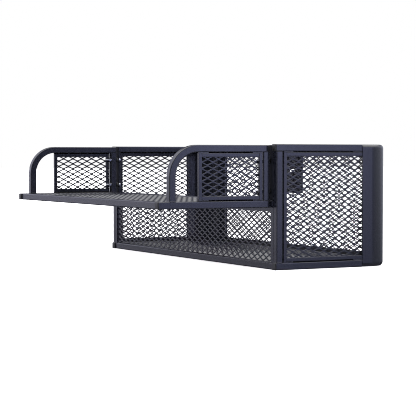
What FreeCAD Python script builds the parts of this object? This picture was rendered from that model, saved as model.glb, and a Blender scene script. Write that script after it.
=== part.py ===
import FreeCAD, Part
import math
import os

os.makedirs("parts", exist_ok=True)
V = FreeCAD.Vector

# Rear drop-basket rack: a mesh deck with two side rails, and a mesh basket hung behind and below it.
# Millimetres. X runs along the rack, -Y is the deck end, +Y the basket's rear wall, Z is up.
# The origin is under the middle of the whole rack, on the surface that the basket stands on.

# overall sizes
basket_length = 1050.0      # across the outer faces of the two basket ends
basket_depth = 366.4        # from the basket's front plane to the outside of the rear corner covers
basket_height = 330.0
deck_inset = 24.5           # outer face of a side rail inboard of the basket's end
deck_reach = 328.6          # how far the deck's side tubes run ahead of the basket's front plane
rail_drop = 2.4             # top face of the side rails below the top of the basket
rail_height = 164.0         # from the underside of the deck tubes to the top face of the side rails

# stock
tube = 19.0                 # square tube, outside
tube_wall = 1.5
tube_corner = 2.5
bar = 10.0                  # panel frame bar, seen face on
bar_thickness = 8.0         # the same bar through the panel, flush with the tubes' outer faces
plate = 3.0                 # bracket and plate stock
flat_thickness = 4.0        # flat bar under the deck and the floor
plug_flange = 4.0           # how far an end plug stands proud of its tube
plug_spigot = 12.0
plug_clearance = 0.1        # all round, between the spigot and the tube's bore

# expanded metal
mesh_long_way = 64.0        # two real diamonds: the sheets are drawn at twice the real pitch
mesh_short_way = 32.8
mesh_strand = 4.6
mesh_thickness = 2.5
mesh_selvage = 3.0          # solid edge of a sheet welded straight to tubes
mesh_lap = 6.0              # how far a sheet laps onto its panel frame
smallest_opening = 30.0     # a cut diamond with less area than this is left solid
front_mesh_inset = 3.0      # front sheet behind the basket's front plane
edge_strip_width = 11.0     # strip over the front sheet's side and upper edges
deck_mesh_drop = 1.5        # deck sheet below the top of its tubes
floor_mesh_drop = 2.0       # floor sheet below the top of the bottom tubes

# side rails
rail_gap = 6.5              # between the deck's rear plane and the basket's front plane
leg_setback = 29.0          # rail's leg behind the front end of the deck's side tube
rail_bend_outer = 82.0
panel_lead = 1.6            # front bar of the rail panel behind the end of the rail's bend
panel_gap = 2.5             # between a panel frame and the tubes around it
panel_lip = 3.0             # strips at the back of a panel frame that close the gap above and below it
tab_length = 29.0           # spacer tab that closes the gap at a panel's corners

# rear corners
cover_thickness = 1.5       # the cover stands proud of the tubes by this much
cover_bend_outer = 70.0
cover_side_straight = 28.8  # from the cover's front edge to its bend
cover_rear_straight = 35.5  # from the bend to the cover's inner edge
seam_gap = 0.6              # between a cover's edge and the tube that it meets
joiner_clearance = 0.75     # all round, in the tube's bore
joiner_wall = 1.5
joiner_insert = 25.0

# centre plate
centre_plate_width = 118.0
centre_plate_height = 112.0
centre_slot_length = 31.0
centre_slot_height = 10.0
centre_slot_drop = 57.0     # slot's centre below the underside of the rear top tube

# fasteners
bolt_diameter = 6.0
bolt_length = 46.0
flats_per_diameter = 5.0 / 3.0
head_height = 4.0
nut_height = 5.0
washer_diameter = 12.0
washer_thickness = 1.2
hole_clearance = 0.3        # on the radius
nut_clearance = 0.05        # on the radius
spacer_diameter = 14.0
lower_bolt_rise = 24.4      # lower bolts above the top of the deck tubes
upper_bolt_drop = 22.6      # upper bolts below the underside of the side rails
bolt_sheet_clearance = 0.3  # between a bolt's shank and the sheet of the rail's panel

# deck straps with slotted holes, floor bars
strap_width = 40.0
strap_spacing = 300.0
slot_spacing = 200.0
slot_width = 8.5
slot_length = 24.0
floor_bar_width = 25.0
floor_bar_spacing = 330.0

# places that follow
end_face = basket_length / 2
post_inner = end_face - tube
front_plane = (deck_reach + plug_flange - basket_depth) / 2
rear_plane = front_plane + basket_depth
rear_tube_outer = rear_plane - cover_thickness
rear_tube_inner = rear_tube_outer - tube
deck_front = front_plane - deck_reach
deck_rear = front_plane - rail_gap
deck_side = end_face - deck_inset
deck_inner = deck_side - tube
rail_top = basket_height - rail_drop
rail_underside = rail_top - tube
deck_level = rail_top - rail_height
deck_top = deck_level + tube
rail_x = deck_side - tube / 2
panel_setback = leg_setback + rail_bend_outer + panel_lead
bolt_x = deck_side - bar_thickness - mesh_thickness - bolt_sheet_clearance - bolt_diameter / 2
head_across_flats = bolt_diameter * flats_per_diameter
bolt_levels = (deck_top + lower_bolt_rise, rail_underside - upper_bolt_drop)
cover_front = rear_plane - cover_bend_outer - cover_side_straight
cover_end = end_face + cover_thickness
cover_inner_end = cover_end - cover_bend_outer - cover_rear_straight
cover_edge_radius = (tube + cover_thickness) / 2
joiner_diameter = tube - 2 * (tube_wall + joiner_clearance)
centreline = (end_face - tube / 2, rear_tube_outer - tube / 2)
SIDES = (("left", -1), ("right", 1))


def save(name, *shapes):
    shape = shapes[0] if len(shapes) == 1 else Part.makeCompound(list(shapes))
    shape.exportStep("parts/" + name + ".step")


def block(low, high):
    size = [high[i] - low[i] for i in range(3)]
    return Part.makeBox(size[0], size[1], size[2], V(*low))


def mirrored(shape, side):
    """The same shape on the other end of the rack when side is -1."""
    return shape if side > 0 else shape.mirror(V(0, 0, 0), V(1, 0, 0))


def square_wire(centre, first, second, size, radius):
    """A rounded square about centre, in the plane of the unit vectors first and second."""
    inner = size / 2 - radius
    diagonal = radius * math.sqrt(0.5)
    edges = []
    for a, b in ((1, 1), (-1, 1), (-1, -1), (1, -1)):
        c = centre + first * (a * inner) + second * (b * inner)
        start, end = c + first * (a * radius), c + second * (b * radius)
        if a * b < 0:
            start, end = end, start
        middle = c + first * (a * diagonal) + second * (b * diagonal)
        edges.append(Part.Arc(start, middle, end).toShape())
    for arc, following in zip(edges[:4], edges[1:4] + edges[:1]):
        gap = (arc.lastVertex(True).Point, following.firstVertex(True).Point)
        edges.append(Part.LineSegment(*gap).toShape())
    return Part.Wire(Part.__sortEdges__(edges))


def tube_face(centre, first, second):
    outer = square_wire(centre, first, second, tube, tube_corner)
    bore = square_wire(centre, first, second, tube - 2 * tube_wall, tube_corner - tube_wall)
    return Part.makeFace([outer, bore], "Part::FaceMakerCheese")


AXES = {"x": (V(1, 0, 0), V(0, 1, 0), V(0, 0, 1)),
        "y": (V(0, 1, 0), V(0, 0, 1), V(1, 0, 0)),
        "z": (V(0, 0, 1), V(1, 0, 0), V(0, 1, 0))}


def straight_tube(axis, start, length):
    """Square tube from the centre of one end, along an axis."""
    along, first, second = AXES[axis]
    return tube_face(V(*start), first, second).extrude(along * length)


def run_bend_run(face, first_run, pivot, axis, second_run):
    """A section carried along a straight, a quarter turn about pivot, and a second straight."""
    at_bend = face.copy()
    at_bend.translate(first_run)
    after_bend = at_bend.copy()
    after_bend.rotate(pivot, axis, 90)
    pieces = [at_bend.revolve(pivot, axis, 90), after_bend.extrude(second_run)]
    return face.extrude(first_run).fuse(pieces).removeSplitter()


def end_plug(centre, outward):
    """Plastic plug in a tube that ends at centre; outward is +1 or -1 along Y."""
    first, second = V(0, 0, 1), V(1, 0, 0)
    spigot_size = tube - 2 * (tube_wall + plug_clearance)
    flange = Part.Face(square_wire(V(*centre), first, second, tube, tube_corner))
    spigot = Part.Face(square_wire(V(*centre), first, second, spigot_size, tube_corner - tube_wall))
    direction = V(0, outward, 0)
    return flange.extrude(direction * plug_flange).fuse(spigot.extrude(direction * -plug_spigot))


def rod(axis, centre, radius, length):
    return Part.makeCylinder(radius, length, V(*centre), AXES[axis][0])


def hexagon(centre, across_flats, thickness):
    """Hexagonal prism along +Y from the centre of one face, with two flats facing along X."""
    reach = across_flats / math.sqrt(3)
    corners = [V(centre[0] + reach * math.sin(k * math.pi / 3), centre[1],
                 centre[2] + reach * math.cos(k * math.pi / 3)) for k in range(7)]
    return Part.Face(Part.makePolygon(corners)).extrude(V(0, thickness, 0))


def clipped(polygon, low, high):
    """A convex polygon cut to a rectangle, one side of the rectangle at a time."""
    for axis in (0, 1):
        for sign, limit in ((1, low[axis]), (-1, -high[axis])):
            kept = []
            for before, point in zip(polygon[-1:] + polygon[:-1], polygon):
                depth_before = sign * before[axis] - limit
                depth = sign * point[axis] - limit
                if (depth_before > 0) != (depth > 0):
                    share = depth_before / (depth_before - depth)
                    kept.append(tuple(before[i] + (point[i] - before[i]) * share for i in (0, 1)))
                if depth > 0:
                    kept.append(point)
            polygon = kept
    return polygon


def area(polygon):
    before = polygon[-1:] + polygon[:-1]
    return abs(sum(p[0] * q[1] - q[0] * p[1] for p, q in zip(before, polygon))) / 2


def diamonds(low, high):
    """Rows of diamonds about the middle of a rectangle, cut where they cross its edges."""
    slope = math.atan2(mesh_short_way, mesh_long_way)
    half_long = mesh_long_way / 2 - mesh_strand / 2 / math.sin(slope)
    half_short = mesh_short_way / 2 - mesh_strand / 2 / math.cos(slope)
    middle = [(low[i] + high[i]) / 2 for i in (0, 1)]
    rows = int((high[1] - low[1]) / mesh_short_way) + 2
    columns = int((high[0] - low[0]) / mesh_long_way / 2) + 2
    for row in range(-rows, rows + 1):
        for column in range(-columns, columns + 1):
            u = middle[0] + (column + row % 2 / 2) * mesh_long_way
            v = middle[1] + row * mesh_short_way / 2
            whole = [(u - half_long, v), (u, v - half_short), (u + half_long, v), (u, v + half_short)]
            cut = clipped(whole, low, high)
            if len(cut) > 2 and area(cut) > smallest_opening:
                yield cut


def expanded_sheet(plane, level, low, high, border):
    """Expanded metal over a rectangle; plane names its normal, level is the lower face."""
    place = {"x": lambda u, v: V(level, u, v),
             "y": lambda u, v: V(u, level, v),
             "z": lambda u, v: V(u, v, level)}[plane]
    outline = [(low[0], low[1]), (high[0], low[1]), (high[0], high[1]), (low[0], high[1])]
    inside = ([low[0] + border, low[1] + border], [high[0] - border, high[1] - border])
    wires = [Part.makePolygon([place(*p) for p in loop + loop[:1]]) for loop in [outline, *diamonds(*inside)]]
    return Part.makeFace(wires, "Part::FaceMakerCheese").extrude(AXES[plane][0] * mesh_thickness)


def upright_block(plane, level, thickness, low, high):
    """A block standing in a wall: plane names the wall's normal, level is its lower face."""
    if plane == "x":
        return block((level, low[0], low[1]), (level + thickness, high[0], high[1]))
    return block((low[0], level, low[1]), (high[0], level + thickness, high[1]))


def frame_bars(plane, level, lip_level, low, high):
    """Four bars butted into a rectangular panel frame, with a lip above and below it."""
    def piece(u0, v0, u1, v1):
        return upright_block(plane, level, bar_thickness, (u0, v0), (u1, v1))
    uprights = [piece(low[0], low[1], low[0] + bar, high[1]), piece(high[0] - bar, low[1], high[0], high[1])]
    rungs = [piece(low[0] + bar, v, high[0] - bar, v + bar) for v in (low[1], high[1] - bar)]
    lips = [upright_block(plane, lip_level, panel_lip, (low[0], v), (high[0], v + panel_gap))
            for v in (low[1] - panel_gap, high[1])]
    return uprights[0].fuse([uprights[1]] + rungs + lips).removeSplitter()


def panel(name, plane, outer, inward, low, high):
    """A frame of bars with its outer face on a plane, and its sheet on the inward side."""
    start = min(outer, outer + inward * bar_thickness)
    lip_level = start + bar_thickness - panel_lip if inward > 0 else start
    save(name + "_frame", frame_bars(plane, start, lip_level, low, high))
    sheet_level = start + bar_thickness if inward > 0 else start - mesh_thickness
    lap = bar - mesh_lap
    sheet = expanded_sheet(plane, sheet_level, (low[0] + lap, low[1] + lap), (high[0] - lap, high[1] - lap),
                           mesh_lap)
    save(name + "_mesh", sheet)


def corner_tabs(plane, outer, inward, low, high):
    """Spacer tabs above and below the four corners of a panel frame, in front of its lips."""
    thickness = bar_thickness - panel_lip
    start = min(outer, outer + inward * thickness)
    tabs = []
    for u in (low[0], high[0] - tab_length):
        for v in (low[1] - panel_gap, high[1]):
            tabs.append(upright_block(plane, start, thickness, (u, v), (u + tab_length, v + panel_gap)))
    return tabs


def make_deck():
    mid_level = deck_level + tube / 2
    for name, side in SIDES:
        start = (side * rail_x, deck_front, mid_level)
        save("deck_side_tube_" + name, straight_tube("y", start, deck_rear - deck_front))
    front_tube = straight_tube("x", (-deck_inner, deck_front + tube / 2, mid_level), 2 * deck_inner)
    rear_tube = straight_tube("x", (-deck_inner, deck_rear - tube / 2, mid_level), 2 * deck_inner)
    save("deck_front_tube", front_tube)
    save("deck_rear_tube", rear_tube)
    inner_front, inner_rear = deck_front + tube, deck_rear - tube
    mesh_low = deck_top - deck_mesh_drop - mesh_thickness
    save("deck_mesh", expanded_sheet("z", mesh_low, (-deck_inner, inner_front), (deck_inner, inner_rear),
                                     mesh_selvage))
    for name, side in SIDES:
        save("deck_strap_" + name, deck_strap(side, inner_front, inner_rear, mesh_low))


def deck_strap(side, front, rear, top):
    """Flat bar under the deck sheet, with slots across it for the bolts to a vehicle's rack."""
    x = side * strap_spacing / 2
    strap = block((x - strap_width / 2, front, top - flat_thickness), (x + strap_width / 2, rear, top))
    for offset in (-slot_spacing / 2, slot_spacing / 2):
        y = (front + rear) / 2 + offset
        reach = (slot_length - slot_width) / 2
        low = top - flat_thickness
        cut = block((x - reach, y - slot_width / 2, low), (x + reach, y + slot_width / 2, top))
        for end in (-reach, reach):
            cut = cut.fuse(rod("z", (x + end, y, low), slot_width / 2, flat_thickness))
        strap = strap.cut(cut)
    return strap.removeSplitter()


def make_rail(name, side):
    radius = rail_bend_outer - tube / 2
    leg_y = deck_front + leg_setback + tube / 2
    top_z = rail_top - tube / 2
    pivot = V(rail_x, leg_y + radius, top_z - radius)
    leg_face = tube_face(V(rail_x, leg_y, deck_top), V(1, 0, 0), V(0, 1, 0))
    top_run = deck_rear - plug_flange - pivot.y
    rail = run_bend_run(leg_face, V(0, 0, pivot.z - deck_top), pivot, V(-1, 0, 0), V(0, top_run, 0))
    save("rail_tube_" + name, mirrored(rail, side))

    upright_y = deck_rear - tube / 2
    upright = straight_tube("z", (rail_x, upright_y, deck_top), rail_underside - deck_top)
    for level in bolt_levels:
        hole = rod("y", (bolt_x, deck_rear - tube, level), bolt_diameter / 2 + hole_clearance, tube)
        upright = upright.cut(hole)
    save("rail_upright_" + name, mirrored(upright, side))

    low = (deck_front + panel_setback, deck_top + panel_gap)
    high = (deck_rear - tube - panel_gap, rail_underside - panel_gap)
    panel("rail_panel_" + name, "x", side * deck_side, -side, low, high)
    save("rail_spacers_" + name, *corner_tabs("x", side * deck_side, -side, low, high))


def make_basket_end(name, side):
    mid = post_inner + tube / 2
    top_mid = basket_height - tube / 2
    run = cover_front - seam_gap - front_plane
    for level, z in (("bottom", tube / 2), ("top", top_mid)):
        save("basket_%s_side_tube_%s" % (level, name), straight_tube("y", (side * mid, front_plane, z), run))
    post = straight_tube("z", (side * mid, front_plane + tube / 2, tube), basket_height - 2 * tube)
    save("front_post_" + name, post)

    low = (front_plane + tube + panel_gap, tube + panel_gap)
    high = (cover_front + bar + panel_gap, basket_height - tube - panel_gap)
    panel("end_panel_" + name, "x", side * end_face, -side, low, high)
    tab_high = (cover_front - seam_gap, high[1])
    save("end_spacers_" + name, *corner_tabs("x", side * end_face, -side, low, tab_high))

    save("corner_cover_" + name, mirrored(corner_cover(), side))
    save("corner_joiners_" + name, *[mirrored(corner_joiner(z), side) for z in (tube / 2, top_mid)])
    save("bolt_plate_" + name, mirrored(bolt_plate(), side))


def corner_cover():
    """Bent sheet with rounded top and bottom edges and lips turned in, as a section on a path."""
    outer, inner = cover_edge_radius, cover_edge_radius - cover_thickness
    lip_inset = cover_end - post_inner
    top = basket_height

    def at(inset, z):
        return V(cover_end - inset, cover_front, z)

    def corner(radius, z_edge, sign):
        centre_inset, centre_z = cover_edge_radius, z_edge - sign * cover_edge_radius
        slant = radius * math.sqrt(0.5)
        return (at(centre_inset - radius, centre_z), at(centre_inset - slant, centre_z + sign * slant),
                at(centre_inset, centre_z + sign * radius))

    wall_low, slant_low, lip_low = corner(outer, 0, -1)
    wall_high, slant_high, lip_high = corner(outer, top, 1)
    in_low, in_slant_low, in_lip_low = corner(inner, 0, -1)
    in_high, in_slant_high, in_lip_high = corner(inner, top, 1)
    outside = [at(lip_inset, 0), lip_low, (slant_low, wall_low), wall_high, (slant_high, lip_high),
               at(lip_inset, top)]
    inside = [at(lip_inset, top - cover_thickness), in_lip_high, (in_slant_high, in_high), in_low,
              (in_slant_low, in_lip_low), at(lip_inset, cover_thickness)]
    face = Part.Face(outline(outside + inside + outside[:1]))
    bend = cover_bend_outer
    pivot = V(cover_end - bend, rear_plane - bend, 0)
    side_run = V(0, pivot.y - cover_front, 0)
    rear_run = V(cover_inner_end - pivot.x, 0, 0)
    return run_bend_run(face, side_run, pivot, V(0, 0, 1), rear_run)


def outline(points):
    """Closed wire: a point is reached by a line, a pair of points by an arc through the first."""
    edges = []
    here = points[0]
    for step in points[1:]:
        if isinstance(step, tuple):
            edges.append(Part.Arc(here, step[0], step[1]).toShape())
            here = step[1]
        else:
            edges.append(Part.LineSegment(here, step).toShape())
            here = step
    return Part.Wire(edges)


def corner_joiner(z):
    """Round bent tube behind a cover, pushed into the ends of the side tube and the rear tube."""
    x, y = centreline
    start_y = cover_front - seam_gap - joiner_insert
    rings = [Part.Wire(Part.makeCircle(joiner_diameter / 2 - inset, V(x, start_y, z), V(0, 1, 0)))
             for inset in (0, joiner_wall)]
    face = Part.makeFace(rings, "Part::FaceMakerCheese")
    pivot = V(cover_end - cover_bend_outer, rear_plane - cover_bend_outer, z)
    end_x = cover_inner_end - seam_gap - joiner_insert
    return run_bend_run(face, V(0, pivot.y - start_y, 0), pivot, V(0, 0, 1), V(end_x - pivot.x, 0, 0))


def bolt_plate():
    """Plate on the inner side of a front post, where the rail's upright is bolted."""
    sheet = block((deck_inner, front_plane, deck_top), (post_inner, front_plane + plate, rail_top))
    for level in bolt_levels:
        sheet = sheet.cut(rod("y", (bolt_x, front_plane, level), bolt_diameter / 2 + hole_clearance, plate))
    return sheet


def make_basket_front():
    start = front_plane + tube / 2
    bottom = straight_tube("x", (-post_inner, start, tube / 2), 2 * post_inner)
    upper = straight_tube("x", (-post_inner, start, deck_level + tube / 2), 2 * post_inner)
    save("basket_front_bottom_tube", bottom)
    save("basket_front_upper_tube", upper)
    save("front_mesh", expanded_sheet("y", front_plane + front_mesh_inset, (-post_inner, tube),
                                      (post_inner, deck_level), mesh_selvage))
    strip = upright_block("y", front_plane, front_mesh_inset, (-post_inner, tube), (post_inner, deck_level))
    side = post_inner - edge_strip_width
    window = upright_block("y", front_plane, front_mesh_inset, (-side, tube),
                           (side, deck_level - edge_strip_width))
    save("front_edge_strip", strip.cut(window))


def make_basket_rear():
    mid = rear_tube_outer - tube / 2
    reach = cover_inner_end - seam_gap
    save("basket_rear_bottom_tube", straight_tube("x", (-reach, mid, tube / 2), 2 * reach))
    save("basket_rear_top_tube", straight_tube("x", (-reach, mid, basket_height - tube / 2), 2 * reach))
    side = cover_inner_end + bar + panel_gap
    low, high = (-side, tube + panel_gap), (side, basket_height - tube - panel_gap)
    panel("rear_panel", "y", rear_tube_outer, -1, low, high)
    tab_low, tab_high = (-reach, low[1]), (reach, high[1])
    save("rear_spacers", *corner_tabs("y", rear_tube_outer, -1, tab_low, tab_high))
    save("centre_plate", centre_plate(high[1] - bar))


def centre_plate(top):
    """Plate behind the rear sheet, flush with the frame's outer face, with one long slot."""
    start, half = rear_tube_outer - plate, centre_plate_width / 2
    sheet = block((-half, start, top - centre_plate_height), (half, rear_tube_outer, top))
    z = basket_height - tube - centre_slot_drop
    reach, radius = (centre_slot_length - centre_slot_height) / 2, centre_slot_height / 2
    cut = block((-reach, start, z - radius), (reach, rear_tube_outer, z + radius))
    for end in (-reach, reach):
        cut = cut.fuse(rod("y", (end, start, z), radius, plate))
    return sheet.cut(cut)


def make_floor():
    top = tube - floor_mesh_drop
    mesh_low = top - mesh_thickness
    front, rear = front_plane + tube, rear_tube_inner
    sheet = expanded_sheet("z", mesh_low, (-post_inner, front), (post_inner, rear), mesh_selvage)
    save("floor_mesh", sheet.cut([mirrored(floor_corner(mesh_low), side) for _, side in SIDES]))
    bars = []
    for step in (-1, 0, 1):
        x = step * floor_bar_spacing
        bars.append(block((x - floor_bar_width / 2, front, mesh_low - flat_thickness),
                          (x + floor_bar_width / 2, rear, mesh_low)))
    save("floor_bars", *bars)


def floor_corner(level):
    """What a rear corner of the floor sheet loses, to follow the bend of the tubes."""
    radius = cover_bend_outer - cover_thickness - tube
    pivot = (cover_end - cover_bend_outer, rear_plane - cover_bend_outer)
    corner = block((pivot[0], pivot[1], level), (post_inner, rear_tube_inner, level + mesh_thickness))
    return corner.cut(rod("z", (pivot[0], pivot[1], level), radius, mesh_thickness))


def make_fasteners():
    """Four bolt sets: head on the plate inside the basket, nut and thread ahead of the rail's upright."""
    bolts, nuts, washers, spacers = [], [], [], []
    radius = bolt_diameter / 2
    plate_rear = front_plane + plate
    upright_front = deck_rear - tube
    for _, side in SIDES:
        x = side * bolt_x
        for z in bolt_levels:
            seat = plate_rear + washer_thickness
            shank = rod("y", (x, seat - bolt_length, z), radius, bolt_length)
            bolts.append(shank.fuse(hexagon((x, seat, z), head_across_flats, head_height)))
            nut_rear = upright_front - washer_thickness
            nut = hexagon((x, nut_rear - nut_height, z), head_across_flats, nut_height)
            nuts.append(nut.cut(rod("y", (x, nut_rear - nut_height, z), radius + nut_clearance, nut_height)))
            for start in (plate_rear, nut_rear):
                washers.append(ring((x, start, z), washer_diameter / 2, washer_thickness))
            spacers.append(ring((x, deck_rear, z), spacer_diameter / 2, rail_gap))
    save("bolts", *bolts)
    save("nuts", *nuts)
    save("washers", *washers)
    save("bolt_spacers", *spacers)


def ring(centre, radius, length):
    bore = rod("y", centre, bolt_diameter / 2 + hole_clearance, length)
    return rod("y", centre, radius, length).cut(bore)


def make_plugs():
    """Black plugs in the open tube ends: the deck's and the basket's fronts, and the rails' rears."""
    basket_x = end_face - tube / 2
    deck_plugs, basket_plugs, rail_plugs = [], [], []
    for _, side in SIDES:
        deck_plugs.append(end_plug((side * rail_x, deck_front, deck_level + tube / 2), -1))
        rail_plugs.append(end_plug((side * rail_x, deck_rear - plug_flange, rail_top - tube / 2), 1))
        for z in (tube / 2, basket_height - tube / 2):
            basket_plugs.append(end_plug((side * basket_x, front_plane, z), -1))
    save("deck_tube_plugs", *deck_plugs)
    save("basket_tube_plugs", *basket_plugs)
    save("rail_tube_plugs", *rail_plugs)


make_deck()
for end_name, end_side in SIDES:
    make_rail(end_name, end_side)
    make_basket_end(end_name, end_side)
make_basket_front()
make_basket_rear()
make_floor()
make_fasteners()
make_plugs()
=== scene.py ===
import math

import bpy
import numpy as np
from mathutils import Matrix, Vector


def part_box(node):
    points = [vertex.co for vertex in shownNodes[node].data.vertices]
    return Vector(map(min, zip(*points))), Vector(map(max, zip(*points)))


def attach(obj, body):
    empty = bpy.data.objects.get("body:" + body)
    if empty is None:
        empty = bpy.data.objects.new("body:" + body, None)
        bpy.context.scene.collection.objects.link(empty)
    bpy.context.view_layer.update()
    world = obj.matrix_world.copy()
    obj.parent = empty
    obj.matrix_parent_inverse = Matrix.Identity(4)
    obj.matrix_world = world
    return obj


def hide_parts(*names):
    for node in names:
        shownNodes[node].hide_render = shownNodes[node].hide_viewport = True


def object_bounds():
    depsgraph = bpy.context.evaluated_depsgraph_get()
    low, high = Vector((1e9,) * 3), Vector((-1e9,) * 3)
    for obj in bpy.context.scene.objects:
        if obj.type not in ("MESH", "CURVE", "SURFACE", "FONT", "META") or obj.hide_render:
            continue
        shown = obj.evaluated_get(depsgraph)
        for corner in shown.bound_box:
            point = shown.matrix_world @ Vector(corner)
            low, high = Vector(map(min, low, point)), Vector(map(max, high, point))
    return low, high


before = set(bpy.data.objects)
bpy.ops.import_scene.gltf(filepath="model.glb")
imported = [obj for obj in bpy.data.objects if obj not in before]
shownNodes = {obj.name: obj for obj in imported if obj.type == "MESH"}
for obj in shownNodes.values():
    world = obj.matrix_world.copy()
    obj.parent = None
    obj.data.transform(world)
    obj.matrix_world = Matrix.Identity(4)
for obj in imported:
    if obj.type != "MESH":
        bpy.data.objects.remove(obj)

cadBounds = [list(corner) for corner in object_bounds()]
bothEnds = ("left", "right")
mm = 0.001
xAxis, yAxis, zAxis = np.eye(3)


# ---- nodes of a material, written as sums and products ----

class Signal:
    # wraps one output socket; arithmetic on it adds Math nodes to the same material
    def __init__(self, book, socket):
        self.book = book
        self.socket = socket

    def math(self, operation, *others):
        return self.book.node("ShaderNodeMath", {"operation": operation}, dict(enumerate([self, *others])))

    def __add__(self, other):
        return self.math("ADD", other)

    def __sub__(self, other):
        return self.math("SUBTRACT", other)

    def __rsub__(self, other):
        return self.book.node("ShaderNodeMath", {"operation": "SUBTRACT"}, {0: other, 1: self})

    def __mul__(self, other):
        return self.math("MULTIPLY", other)

    __radd__ = __add__
    __rmul__ = __mul__

    def clamp(self, low=0.0, high=1.0):
        return self.math("MAXIMUM", low).math("MINIMUM", high)


class ShaderBook:
    # the node tree of one material, or of the world
    def __init__(self, owner):
        self.owner = owner
        owner.use_nodes = True
        self.tree = owner.node_tree
        self.tree.nodes.clear()

    def node(self, kind, settings=None, sockets=None, output=0):
        # settings first, then values or links for the input sockets
        made = self.tree.nodes.new(kind)
        for key, value in (settings or {}).items():
            setattr(made, key, value)
        for key, value in (sockets or {}).items():
            if isinstance(value, Signal):
                self.tree.links.new(value.socket, made.inputs[key])
            else:
                made.inputs[key].default_value = value
        return Signal(self, made.outputs[output]) if made.outputs else None

    def place(self):
        return self.node("ShaderNodeTexCoord", output="Object")

    def noise(self, at, scale, detail=2.0, roughness=0.5):
        return self.node("ShaderNodeTexNoise", None,
                         {"Vector": at, "Scale": scale, "Detail": detail, "Roughness": roughness})

    def cells(self, at, scale):
        return self.node("ShaderNodeTexVoronoi", {"feature": "F1"}, {"Vector": at, "Scale": scale})

    def blend(self, share, first, second):
        # colours A and B by share
        made = self.tree.nodes.new("ShaderNodeMix")
        made.data_type = "RGBA"
        for key, value in (("Factor", share), ("A", first), ("B", second)):
            slots = [s for s in made.inputs if s.name == key and s.enabled]
            if isinstance(value, Signal):
                self.tree.links.new(value.socket, slots[0])
            else:
                slots[0].default_value = value
        return Signal(self, [s for s in made.outputs if s.enabled][0])

    def bump(self, height, strength, distance, under=None):
        sockets = {"Height": height, "Strength": strength, "Distance": distance}
        if under is not None:
            sockets["Normal"] = under
        return self.node("ShaderNodeBump", None, sockets)

    def finish(self, sockets):
        surface = self.node("ShaderNodeBsdfPrincipled", None, sockets)
        self.node("ShaderNodeOutputMaterial", None, {"Surface": surface})
        return self.owner


powderCoat = {
    "deep": (0.0060, 0.0066, 0.0108, 1),    # the coat where it lies thick
    "thin": (0.0090, 0.0098, 0.0150, 1),    # where it is pulled thin
    "dust": (0.0260, 0.0260, 0.0300, 1),
    "bare": (0.0005, 0.0005, 0.0006, 1),    # painted shade, near-black, deep in a narrow slot
    "roughness": 0.21,
    "cloudSize": 9.0,                       # clouds, patches, lumps and grains are all counts a metre
    "patchSize": 60.0,
    "dustFrom": 0.56,                       # patches stronger than this carry dust
    "dustShare": 0.28,
    "peelSize": 420.0,                      # orange-peel lumps
    "peelDepth": 0.04 * mm,
    "grainSize": 2600.0,
    "grainDepth": 0.01 * mm,
    "edgeWear": 0.55,
    "slotDullness": 0.7,
    "ior": 1.5,
}
meshCoat = dict(powderCoat, peelDepth=0.02 * mm)
# a shaded copy of the coat, rougher and with a lower IOR so that it reflects less, as painted shade on the
# plates shut in between the rails and the posts
shadedCoat = dict(powderCoat, roughness=0.6, ior=1.2)


def makePowderCoat(name, values, edges):
    # dark coat, orange peel and a fine grain. The piece's own edge value is 1 along a worn edge, where the
    # coat is paler and smoother, and -1 deep in a slot, where the coat is dull and painted near-black as
    # shade
    book = ShaderBook(bpy.data.materials.new(name))
    at = book.place()
    clouds = book.noise(at, values["cloudSize"], 3.0)
    patches = book.noise(at, values["patchSize"], 4.0, 0.6)
    peel = book.noise(at, values["peelSize"], 1.5)
    grain = book.noise(at, values["grainSize"], 1.0)
    dust = ((patches - values["dustFrom"]) * 5.0).clamp() * values["dustShare"]
    colour = book.blend(clouds, values["deep"], values["thin"])
    colour = book.blend(dust, colour, values["dust"])
    rough = clouds * 0.08 + patches * 0.10 + (values["roughness"] - 0.09)
    if edges:
        ridge = book.node("ShaderNodeAttribute", {"attribute_name": "edge"}, output="Fac")
        wear = (ridge * (patches * 2.0 - 0.35)).clamp() * values["edgeWear"]
        # painted shade: where the edge value is -1, the colour is blended to near-black
        slotShadeMask = (0.0 - ridge).clamp()
        colour = book.blend(slotShadeMask, book.blend(wear, colour, values["dust"]), values["bare"])
        rough = rough - wear * 0.08 + slotShadeMask * values["slotDullness"]
    low = book.bump(grain, 0.25, values["grainDepth"])
    normal = book.bump(peel, 0.5, values["peelDepth"], low)
    return book.finish({"Base Color": colour, "Roughness": rough, "Normal": normal, "IOR": values["ior"]})


zincPlate = {"bright": (0.70, 0.72, 0.75, 1), "dull": (0.46, 0.47, 0.50, 1), "roughness": 0.24,
             "cloudSize": 240.0, "streakSize": 1500.0, "streakDepth": 0.02 * mm}


def makeZinc(name, values):
    # plated steel: clouded brightness and fine streaks
    book = ShaderBook(bpy.data.materials.new(name))
    at = book.place()
    clouds = book.noise(at, values["cloudSize"], 4.0, 0.6)
    streaks = book.noise(at, values["streakSize"], 2.0)
    colour = book.blend(clouds, values["bright"], values["dull"])
    rough = clouds * 0.22 + streaks * 0.08 + (values["roughness"] - 0.12)
    normal = book.bump(streaks, 0.25, values["streakDepth"])
    return book.finish({"Base Color": colour, "Roughness": rough, "Metallic": 1.0, "Normal": normal})


mouldedPlastic = {"face": (0.0085, 0.0085, 0.0090, 1), "scuff": (0.0230, 0.0230, 0.0240, 1),
                  "roughness": 0.50, "pitSize": 3200.0, "pitDepth": 0.04 * mm, "scuffSize": 130.0}
softRubber = {"face": (0.0130, 0.0130, 0.0130, 1), "scuff": (0.0300, 0.0300, 0.0300, 1),
              "roughness": 0.78, "pitSize": 1800.0, "pitDepth": 0.04 * mm, "scuffSize": 130.0}


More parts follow.
